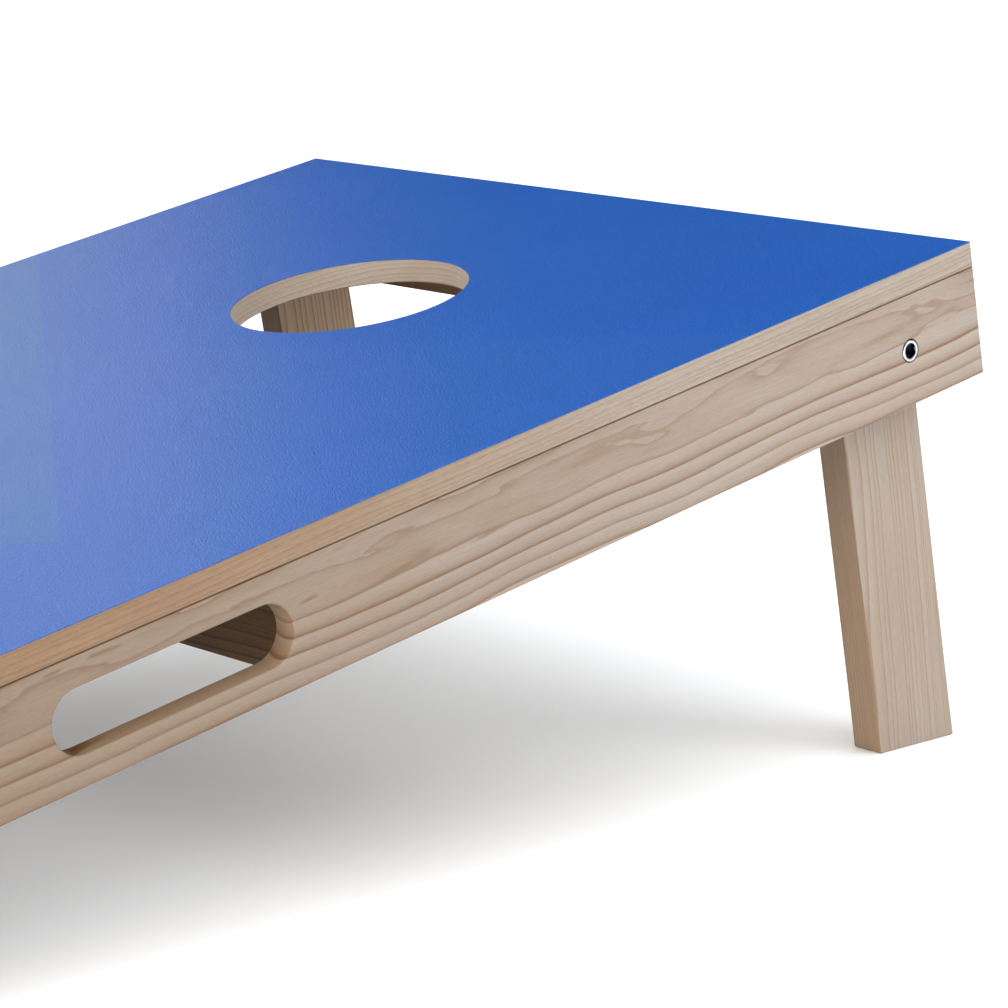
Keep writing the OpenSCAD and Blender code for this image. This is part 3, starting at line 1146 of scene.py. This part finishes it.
@dataclass(frozen=True)
class RailFrame(Assembly):
    """The side rails, end rails, braces and corner blocks, with their dowels and screws.

    Attributes:
        slot_length: Length of a hand slot.
        slot_shift: Distance of its middle behind the rail's middle.
        slot_height: Height of a hand slot.
        slot_t: Height of its middle above the frame's lower edge.
        slot_rim: Radius of its outer rim.
        slot_inner_rim: Radius of its inner rim.
        slot_cell: Half the length of the rail's cell round the slot.
        nut_seat: Radius of the insert nut's seat.
        nut_seat_ease: Rounding of that seat's rims.
        nut_cell: Half the length of the rail's cell round the seat.
        ease: Rounding of the boards' edges.
        screw: The seat of a block's screw.
        screw_s: Place of the corner block's screws along the board.
        screw_gap: Height of each of them above or below the block's middle.
        block_chamfer: Place along the board at which the corner block's face turns away.
        block_rise: How far that face has turned away at its end.
    """

    slot_length: float = 150.0
    slot_shift: float = 3.6
    slot_height: float = 34.0
    slot_t: float = 32.9
    slot_rim: float = 1.2
    slot_inner_rim: float = 0.5
    slot_cell: float = 100.0
    nut_seat: float = 7.17
    nut_seat_ease: float = 0.12
    nut_cell: float = 33.0
    ease: float = 0.6
    screw: ScrewSeat = ScrewSeat()
    screw_s: float = 21.923
    screw_gap: float = 11.0
    block_chamfer: float = 28.5
    block_rise: float = 12.0

    def slot_wall(self, depth: float) -> Wall:
        """Wall of a hand slot: a quarter round at the outer rim, a smaller one at the inner.

        On a quarter round of radius R the growth is R (1 - sin a) and the depth R (1 - cos a).
        """
        outer, inner = self.slot_rim, self.slot_inner_rim
        angles = np.linspace(0, math.pi / 2, 6)
        rim = [(outer * (1 - math.sin(a)), outer * (1 - math.cos(a))) for a in angles]
        back = [(inner * (1 - math.sin(a)), depth - inner * (1 - math.cos(a))) for a in angles[::-1]]
        return (*rim, *back)

    def side_rail(self, side: Side) -> None:
        """Builds a side rail with its hand slot and the insert nut's seat."""
        low, high = self.level.box("right_side_rail")
        depth, middle = high[0] - low[0], (low[1] + high[1]) / 2 + self.slot_shift
        pivot_s, pivot_t = self.level.pivot()
        round_end = self.slot_height / 2
        slot = Bore(middle, self.slot_t, round_end, self.slot_wall(depth), self.slot_length / 2 - round_end)
        seat = Bore(pivot_s, pivot_t, self.nut_seat, straight_wall(depth, self.nut_seat_ease))
        cells = ((middle, self.slot_cell), (pivot_s, self.nut_cell))
        cuts = tuple(place + way * half for place, half in cells for way in (-1, 1))
        board = Board(Plane.SIDE, low, high, (slot, seat), u_cuts=cuts, steps=(24, 24))
        node = f"{side.word}_side_rail"
        self.finish(board.skin(), f"{node}_board", node, self.ease, f"{side.word}_rail_pine", "pine", side)

    def crosspiece(self, node: str, finish: str) -> None:
        """Builds a board across the frame."""
        board = Board(Plane.END, *self.level.box(node), steps=(24, 6))
        self.finish(board.skin(), f"{node}_board", node, self.ease, finish, "pine")

    def corner_block(self, side: Side) -> None:
        """Builds a front corner block with the seats of its two screws."""
        low, high = self.level.box("right_corner_block")
        middle, depth = (low[2] + high[2]) / 2, high[0] - low[0]
        heights = (middle - self.screw_gap, middle + self.screw_gap)
        board = Board(
            Plane.SIDE, low, high, tuple(self.screw.bore(self.screw_s, t, depth) for t in heights),
            u_cuts=(self.block_chamfer,), v_cuts=(middle,), steps=(8, 8),
            slope_from=(self.block_chamfer, self.block_rise),
        )
        node = f"{side.word}_corner_block"
        self.finish(board.skin(), f"{node}_wedge", node, self.ease, "block_wood", side=side)

    def build(self) -> None:
        """Builds and dresses the whole frame."""
        for side in Side:
            self.side_rail(side)
            self.corner_block(side)
        self.crosspiece("rear_end_rail", "end_rail_pine")
        self.crosspiece("front_end_rail", "front_rail_pine")
        self.crosspiece("rear_cross_brace", "brace_pine")
        self.crosspiece("front_cross_brace", "brace_pine")
        self.keep("rail_dowels", "beech")
        self.keep("deck_screws", "screw_steel")
        self.keep("block_screws", "screw_steel")


@dataclass(frozen=True)
class FoldingLeg(Assembly):
    """One folding leg with its pivot block, stop, insert nut, stud, washers and clamp knob.

    Attributes:
        side: The side of the board.
        ease: Rounding of the wooden pieces' edges.
        bush_seat: Radius of the bush's seat in the leg.
        seat_ease: Rounding of that seat's rims.
        bush_bore: Radius of the bush's bore.
        wide_bore: Radius of the bore in the block and the washers.
        nut_bore: Radius of the insert nut's bore.
        nut_body: Radius of the insert nut's flat ring and of its thread's root.
        nut_crest: Radius of its thread's crest.
        nut_pitch: Length of one turn of its thread.
        hex_inradius: Half the size of its hexagon socket across its flats.
        hex_mouth: Radius of the socket's round mouth.
        hex_depth: Depth of the socket.
        stud_root: Radius of the stud's thread at the root.
        stud_pitch: Length of one turn of the stud's thread.
        grip_base: Radius of the clamp knob's grip between its lobes.
        lobe: Radius of a lobe, whose centre lies on that circle.
        lobes: Number of lobes.
        boss: Radius of the knob's boss.
        boss_height: Height of the boss.
        knob_bore: Radius of the knob's bore.
        screw: The seat of a block's or stop's screw.
        block_screw: Distances of a block screw from the pivot, along and up the board.
        stud_cell: Half the sides of the block's cell round the stud, along and up the board.
        stop_screw_t: Distance of a stop screw from the stop's middle, up the board.
    """

    side: Side = Side.RIGHT
    ease: float = 0.8
    bush_seat: float = 6.02
    seat_ease: float = 0.15
    bush_bore: float = 3.97
    wide_bore: float = 4.04
    nut_bore: float = 3.935
    nut_body: float = 6.4
    nut_crest: float = 7.15
    nut_pitch: float = 2.5
    hex_inradius: float = 4.0
    hex_mouth: float = 4.7
    hex_depth: float = 6.0
    stud_root: float = 3.35
    stud_pitch: float = 1.25
    grip_base: float = 13.5
    lobe: float = 6.5
    lobes: int = 5
    boss: float = 9.0
    boss_height: float = 7.0
    knob_bore: float = 3.92
    screw: ScrewSeat = ScrewSeat()
    block_screw: tuple[float, float] = (36.0, 17.6)
    stud_cell: tuple[float, float] = (24.0, 8.8)
    stop_screw_t: float = 8.5

    def made(
        self, skin: Skin, name: str, node: str, finish: str, ease: float, slot: str = "", angle: float = 60.0
    ) -> None:
        """Finishes this side's piece, whose name and node are given without the side."""
        word = self.side.word
        self.finish(skin, f"{word}_{name}", f"{word}_{node}", ease, finish, slot, self.side, angle)

    def leg(self) -> None:
        """Builds the leg: its outline joined to the bush's seat, on both faces, and the walls.

        The outline runs along the sloping foot, up the rear side, over a half circle round the
        pivot and down the front side. Each of its points faces the seat's point at its angle.
        """
        low, high = self.level.box("right_leg")
        pivot = np.array(self.level.pivot())
        radius = (high[1] - low[1]) / 2
        front, rear = pivot[0] - radius, pivot[0] + radius
        foot_front, foot_rear = ((s, -s * math.tan(self.level.slope)) for s in (front, rear))
        arc = np.linspace(0, math.pi, 48, endpoint=False)
        outline = np.concatenate(
            [
                np.linspace(foot_front, foot_rear, 8, endpoint=False),
                np.linspace(foot_rear, (rear, pivot[1]), 24, endpoint=False),
                pivot + radius * np.stack([np.cos(arc), np.sin(arc)], -1),
                np.linspace((front, pivot[1]), foot_front, 24, endpoint=False),
            ]
        )
        away = np.arctan2(outline[:, 1] - pivot[1], outline[:, 0] - pivot[0])
        rim = np.stack([np.cos(away), np.sin(away)], -1)
        seat, lip = (pivot + rim * (self.bush_seat + grown) for grown in (0.0, self.seat_ease))
        face = lip + np.linspace(0, 1, 5)[:, None, None] * (outline - lip)

        def at(x: float, st: np.ndarray) -> np.ndarray:
            """Points at x whose s and t are given."""
            return np.concatenate([np.full((*st.shape[:-1], 1), x), st], -1)

        inner, outer = low[0], high[0]
        skin = Skin()
        skin.add(at(inner, face), around=True)
        skin.add(at(outer, face), around=True)
        skin.add(np.stack([at(inner, outline), at(outer, outline)]), around=True)
        wall = [(inner, lip), (inner + self.seat_ease, seat), (outer - self.seat_ease, seat), (outer, lip)]
        skin.add(np.stack([at(x, loop) for x, loop in wall]), around=True)
        self.made(skin, "leg_board", "leg", f"{self.side.word}_leg_pine", self.ease, "leg_pine")

    def pivot_block(self) -> None:
        """Builds the pivot block with the stud's hole and the seats of its four screws."""
        low, high = self.level.box("right_pivot_block")
        depth = high[0] - low[0]
        s, t = self.level.pivot()
        (ds, dt), (cell_s, cell_t) = self.block_screw, self.stud_cell
        ways = [(back, up) for back in (-1, 1) for up in (-1, 1)]
        screws = (self.screw.bore(s + back * ds, t + up * dt, depth) for back, up in ways)
        hole = Bore(s, t, self.wide_bore, straight_wall(depth, 0.3))
        board = Board(
            Plane.SIDE, low, high, (hole, *screws), u_cuts=(s - cell_s, s + cell_s),
            v_cuts=(t - cell_t, t + cell_t), steps=(8, 8),
        )
        self.made(board.skin(), "pivot_block_board", "pivot_block", "block_wood", self.ease)

    def leg_stop(self) -> None:
        """Builds the stop behind the leg with the seats of its two screws."""
        low, high = self.level.box("right_leg_stop")
        x, t = (low[0] + high[0]) / 2, (low[2] + high[2]) / 2
        heights = (t - self.stop_screw_t, t + self.stop_screw_t)
        screws = tuple(self.screw.bore(x, height, high[1] - low[1]) for height in heights)
        board = Board(Plane.END, low, high, screws, v_cuts=(t,), steps=(8, 8))
        self.made(board.skin(), "leg_stop_batten", "leg_stop", "block_wood", self.ease)

    def lathe(
        self, rows: list[tuple[float, Any]], count: int, name: str, node: str, finish: str, ease: float,
        angle: float = 60.0,
    ) -> None:
        """Builds a turned piece: s and t are the pivot's plus the radius at each angle.

        Args:
            rows: x of each row, and its radius, which may be one for each angle.
            count: Points round the pivot's axis.
            name: The piece's name without the side.
            node: The CAD node's name without the side.
            finish: The name of its material.
            ease: Rounding of its edges.
            angle: Edges sharper than this are rounded, in degrees.
        """
        angles = np.linspace(0, 2 * math.pi, count, endpoint=False)
        radii = np.array([np.broadcast_to(radius, count) for _, radius in rows])
        x = np.broadcast_to(np.array([[x] for x, _ in rows]), radii.shape)
        s, t = self.level.pivot()
        skin = Skin()
        skin.add(np.stack([x, s + radii * np.cos(angles), t + radii * np.sin(angles)], -1), around=True)
        self.made(skin, name, node, finish, ease, angle=angle)

    def insert_nut(self) -> None:
        """Builds the insert nut, whose hexagon's radius is its inradius over the cosine.

        Its profile runs from the bore out to the thread, along the thread to the flat ring,
        over the ring to the hexagon, down the socket and back through the bore.
        """
        low, high = self.level.box("right_insert_nut")
        inner, outer, floor = low[0], high[0], high[0] - self.hex_depth
        bore, body, mouth, count = self.nut_bore, self.nut_body, self.hex_mouth, 96
        degrees = np.arange(count) * 360.0 / count
        hexagon = self.hex_inradius / np.cos(np.radians(degrees - 60 * np.round(degrees / 60)))
        rows = [
            (inner, bore + 0.3), (inner, body - 0.6), (inner + 0.6, body),
            *thread(inner + 0.7, outer - 1.4, body, self.nut_crest, self.nut_pitch, count),
            (outer - 0.3, body), (outer, body - 0.3), (outer, mouth), (outer - 0.35, mouth - 0.15),
            (outer - 0.9, hexagon), (floor, hexagon), (floor, bore), (inner + 0.3, bore), (inner, bore + 0.3),
        ]
        self.lathe(rows, count, "insert_nut_bush", "insert_nut", "bright_steel", 0.08, 40)

    def stud(self) -> None:
        """Builds the pivot stud: a thread between two flat ends that close in a pole."""
        low, high = self.level.box("right_pivot_stud")
        start, stop, root, count = low[0], high[0], self.stud_root, 32
        crest = (high[2] - low[2]) / 2
        ridge = thread(start + 0.2, stop - 0.6, root, crest, self.stud_pitch, count)
        rows = [(start, 0.0), (start, root), *ridge, (stop, root - 0.6), (stop, 0.0)]
        self.lathe(rows, count, "stud_thread", "pivot_stud", "steel", 0.05)

    def ring(self, node: str, name: str, finish: str, bore: float, ease: float) -> None:
        """Builds a washer or bush: a closed profile with eased edges round the pivot's axis."""
        (low, _, _), (high, _, top) = self.level.box(f"right_{node}")
        outer = (top - self.level.box(f"right_{node}")[0][2]) / 2
        rows = [
            (low + ease, bore), (low, bore + ease), (low, outer - ease), (low + ease, outer),
            (high - ease, outer), (high, outer - ease), (high, bore + ease), (high - ease, bore),
            (low + ease, bore),
        ]
        self.lathe(rows, 64, name, node, finish, 0.05)

    def star(self, count: int) -> np.ndarray:
        """Radius of the knob's grip at each angle.

        A lobe's circle seen from the axis has the radius c cos d + sqrt(l^2 - (c sin d)^2) at
        the angle d from its middle. It is joined softly to the base circle by the logarithm
        of the sum of both exponentials.

        Args:
            count: Points round the axis.

        Returns:
            The radii.
        """
        angles = np.arange(count) * 2 * math.pi / count
        share = 2 * math.pi / self.lobes
        off = (angles - math.pi / 2 + share / 2) % share - share / 2
        inside = np.clip(self.lobe**2 - (self.grip_base * np.sin(off)) ** 2, 0, None)
        lobe = self.grip_base * np.cos(off) + np.sqrt(inside)
        soft = 0.8
        return soft * np.log(np.exp(lobe / soft) + np.exp(self.grip_base / soft))

    def knob(self) -> None:
        """Builds the clamp knob: rows of depth, plain radius and share of the star outline.

        It runs from the bottom of the stud's bore to the boss, along it to the grip, over the
        grip's rounded rims and across its dished face to the middle.
        """
        low, high = self.level.box("right_clamp_knob")
        face, height = high[0], high[0] - low[0]
        boss, foot, bore, count = self.boss, self.boss_height, self.knob_bore, 120
        profile = [
            (height - 6, 0, 0), (height - 6, bore, 0), (0.3, bore, 0), (0, bore + 0.3, 0),
            (0, boss - 0.6, 0), (0.18, boss - 0.18, 0), (0.6, boss, 0), (foot - 1.4, boss, 0),
            (foot - 0.6, boss + 0.3, 0), (foot - 0.1, boss + 1.2, 0), (foot, 0, 0.86),
            (foot + 0.12, 0, 0.92), (foot + 0.5, 0, 0.965), (foot + 1.2, 0, 0.99), (foot + 2.2, 0, 1),
            (height - 3.2, 0, 1), (height - 2.0, 0, 0.99), (height - 1.0, 0, 0.96),
            (height - 0.35, 0, 0.915), (height - 0.06, 0, 0.86), (height, 0, 0.8),
            (height - 0.2, 0, 0.7), (height - 0.7, 0, 0.58), (height - 0.9, 6, 0), (height - 0.9, 0, 0),
        ]
        star = self.star(count)
        rows = [(face - depth, plain + share * star) for depth, plain, share in profile]
        self.lathe(rows, count, "star_knob", "clamp_knob", "black_plastic", 0.2)

    def build(self) -> None:
        """Builds and dresses the leg and everything at its pivot."""
        self.leg()
        self.pivot_block()
        self.leg_stop()
        self.insert_nut()
        self.stud()
        self.ring("leg_bush", "bush_sleeve", "nylon", self.bush_bore, 0.3)
        self.ring("friction_washer", "friction_disc", "nylon", self.wide_bore, 0.2)
        self.ring("knob_washer", "knob_washer_disc", "steel", self.wide_bore, 0.2)
        self.knob()


def aim_at(obj: bpy.types.Object, place: Place, aim: Place) -> None:
    """Puts a lamp or camera in the scene at a place, looking at the aim with its top up."""
    bpy.context.scene.collection.objects.link(obj)
    obj.location = place
    obj.rotation_euler = (Vector(aim) - Vector(place)).to_track_quat("-Z", "Y").to_euler()


@dataclass(frozen=True)
class Lamp:
    """A soft rectangular lamp.

    Attributes:
        name: Its name.
        place: Where it hangs.
        aim: The point that it faces.
        size: Its width and height.
        power: Its power, in watts.
        colour: Its colour.
        rays: What it lights.
    """

    name: str
    place: Place
    aim: Place
    size: tuple[float, float]
    power: float
    colour: Colour = (1.0, 1.0, 1.0)
    rays: Rays = Rays.ALL

    def build(self) -> None:
        """Hangs the lamp and turns its face to the aim."""
        light = bpy.data.lights.new(self.name, "AREA")
        light.shape, light.energy, light.color = "RECTANGLE", self.power, self.colour
        light.size, light.size_y = self.size
        lamp = bpy.data.objects.new(self.name, light)
        aim_at(lamp, self.place, self.aim)
        lamp.visible_diffuse, lamp.visible_glossy = self.rays.value
        lamp.visible_camera = False
        LOG.info("%s hangs at %s", self.name, self.place)


@dataclass(frozen=True)
class Studio:
    """The plain pale floor, the soft light and the camera.

    Attributes:
        eye: Place of the camera.
        aim: The point in the middle of its view.
        lens: Its focal length on a sensor 36 mm wide.
        floor_size: Half the width of the floor.
        floor_tones: The two colours of the floor's faint clouds.
        air: Strength of the light from all round.
        air_lean: How much stronger it is towards +X.
        lamps: The soft lamps.
    """

    eye: Place = (1.65166, -1.00572, 0.58499)
    aim: Place = (0.27223, 0.24203, 0.19724)
    lens: float = 126.02
    floor_size: float = 60.0
    floor_tones: tuple[Colour, Colour] = ((0.92, 0.945, 0.965), (0.935, 0.96, 0.98))
    air: float = 1.45
    air_lean: float = 0.16
    lamps: tuple[Lamp, ...] = (
        Lamp("key", (1.7, 1.15, 1.25), (0.3, 0.45, 0.15), (1.0, 1.0), 9.0),
        Lamp("overhead", (0.0, 0.0, 4.0), (0.0, 0.0, 0.0), (3.0, 3.0), 14.0),
        Lamp("front_fill", (0.9, -2.6, 1.1), (0.3, 0.2, 0.15), (1.6, 1.6), 74.0, (1.0, 0.9, 0.78),
             Rays.MATTE),
        Lamp("under_fill", (0.05, -0.17, 0.085), (0.05, -0.17, 0.0), (0.44, 0.6), 0.25, rays=Rays.MATTE),
        Lamp("deck_sheen", (-2.1, 1.07, 1.3), (0.05, 0.17, 0.23), (0.85, 0.55), 5.1, (1.0, 0.92, 0.72),
             Rays.SHINE),
    )

    def floor(self) -> None:
        """Lays the floor: a flat grid with a matte, faintly clouded paint."""
        mesh = bpy.data.meshes.new("studio_floor")
        x, y = np.meshgrid(*[np.linspace(-self.floor_size, self.floor_size, 3)] * 2)
        points = np.stack([x, y, np.zeros_like(x)], -1).reshape(-1, 3)
        mesh.from_pydata(points, [], grid_quads(3, 3).tolist())
        made = bpy.data.objects.new("studio_floor", mesh)
        bpy.context.scene.collection.objects.link(made)
        paint, graph = new_material("floor_paint")
        place = graph.split(graph.node("ShaderNodeTexCoord", output="Object"))
        colour = graph.mix(*self.floor_tones, graph.noise(Cloud((1, 1, 1)), *place))
        graph.surface({"Base Color": colour, "Roughness": 0.9, "Specular IOR Level": 0.1})
        mesh.materials.append(paint)

    def sky(self) -> None:
        """Fills the world with soft white light, a little stronger from the right.

        The light is a constant plus a share of the direction's x. It doesn't show in glossy
        surfaces, which reflect the lamps and the floor.
        """
        world = bpy.data.worlds.new("studio_air")
        world.use_nodes = True
        bpy.context.scene.world = world
        graph = Graph(world.node_tree)
        x, _, _ = graph.split(graph.node("ShaderNodeTexCoord", output="Generated"))
        values = {"Color": (1.0, 1.0, 1.0), "Strength": x * self.air_lean + self.air}
        air = graph.node("ShaderNodeBackground", None, values)
        graph.node("ShaderNodeOutputWorld", None, {"Surface": air})
        world.cycles_visibility.glossy = False

    def camera(self) -> None:
        """Sets up the camera."""
        data = bpy.data.cameras.new("view")
        data.lens, data.sensor_width = self.lens, 36.0
        data.clip_start, data.clip_end = 0.02, 400.0
        view = bpy.data.objects.new("view", data)
        aim_at(view, self.eye, self.aim)
        bpy.context.scene.camera = view

    def build(self) -> None:
        """Sets up floor, light and camera."""
        self.floor()
        self.sky()
        for lamp in self.lamps:
            lamp.build()
        self.camera()
        bpy.context.scene.view_settings.view_transform = "Standard"


def main() -> None:
    """Builds the board's sub-assemblies and the studio, in order."""
    logging.basicConfig(level=logging.INFO, format="%(name)s: %(message)s", stream=sys.stdout)
    level = Level.measure()
    LOG.info("the board slopes at %.3f degrees", math.degrees(level.slope))
    finishes = {recipe.name: recipe.material(level) for recipe in RECIPES}
    Deck(level, finishes).build()
    RailFrame(level, finishes).build()
    for side in Side:
        FoldingLeg(level, finishes, side).build()
    Studio().build()


if __name__ == "__main__":
    main()
